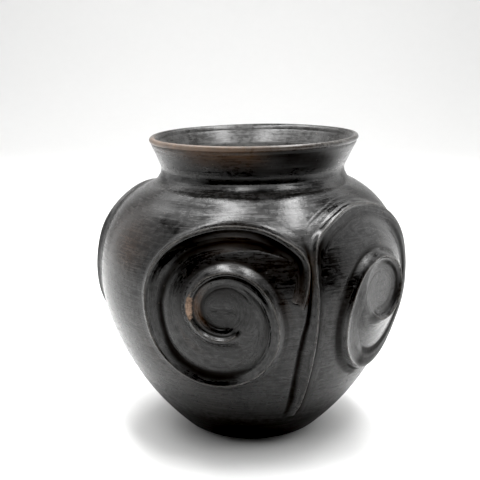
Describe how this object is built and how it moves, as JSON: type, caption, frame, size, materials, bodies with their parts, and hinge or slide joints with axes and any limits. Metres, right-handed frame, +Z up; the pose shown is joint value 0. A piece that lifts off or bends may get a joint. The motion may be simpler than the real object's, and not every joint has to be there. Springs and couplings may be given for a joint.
{
  "type": "pottery jar",
  "caption": "Hand-built black-fired jar with a round belly, flaring neck and rolled rim, with raised spiral volutes hanging from upright stems; an open vessel that stands on its flat base.",
  "frame": {"origin": "centre of the flat resting face, on the jar's axis", "axes": "+Z up along the jar's axis, -Y towards the front stem"},
  "size_m": [0.1792, 0.1859, 0.1776],
  "materials": {
    "burnished_blackware": "satin, stone-burnished, smoke-blackened in firing, with brown where the smoke missed it"
  },
  "bodies": {
    "root": {"base_pad": "burnished_blackware", "lower_bowl": "burnished_blackware", "coil_course_1": "burnished_blackware", "coil_course_2": "burnished_blackware", "coil_course_3": "burnished_blackware", "coil_course_4": "burnished_blackware", "shoulder_course": "burnished_blackware", "neck_collar": "burnished_blackware", "rim_coil": "burnished_blackware", "front_left_ridge": "burnished_blackware", "front_right_ridge": "burnished_blackware", "back_left_ridge": "burnished_blackware", "back_right_ridge": "burnished_blackware", "front_left_boss": "burnished_blackware", "front_right_boss": "burnished_blackware", "back_left_boss": "burnished_blackware", "back_right_boss": "burnished_blackware", "front_stem": "burnished_blackware", "back_stem": "burnished_blackware"}
  },
  "joints": []
}
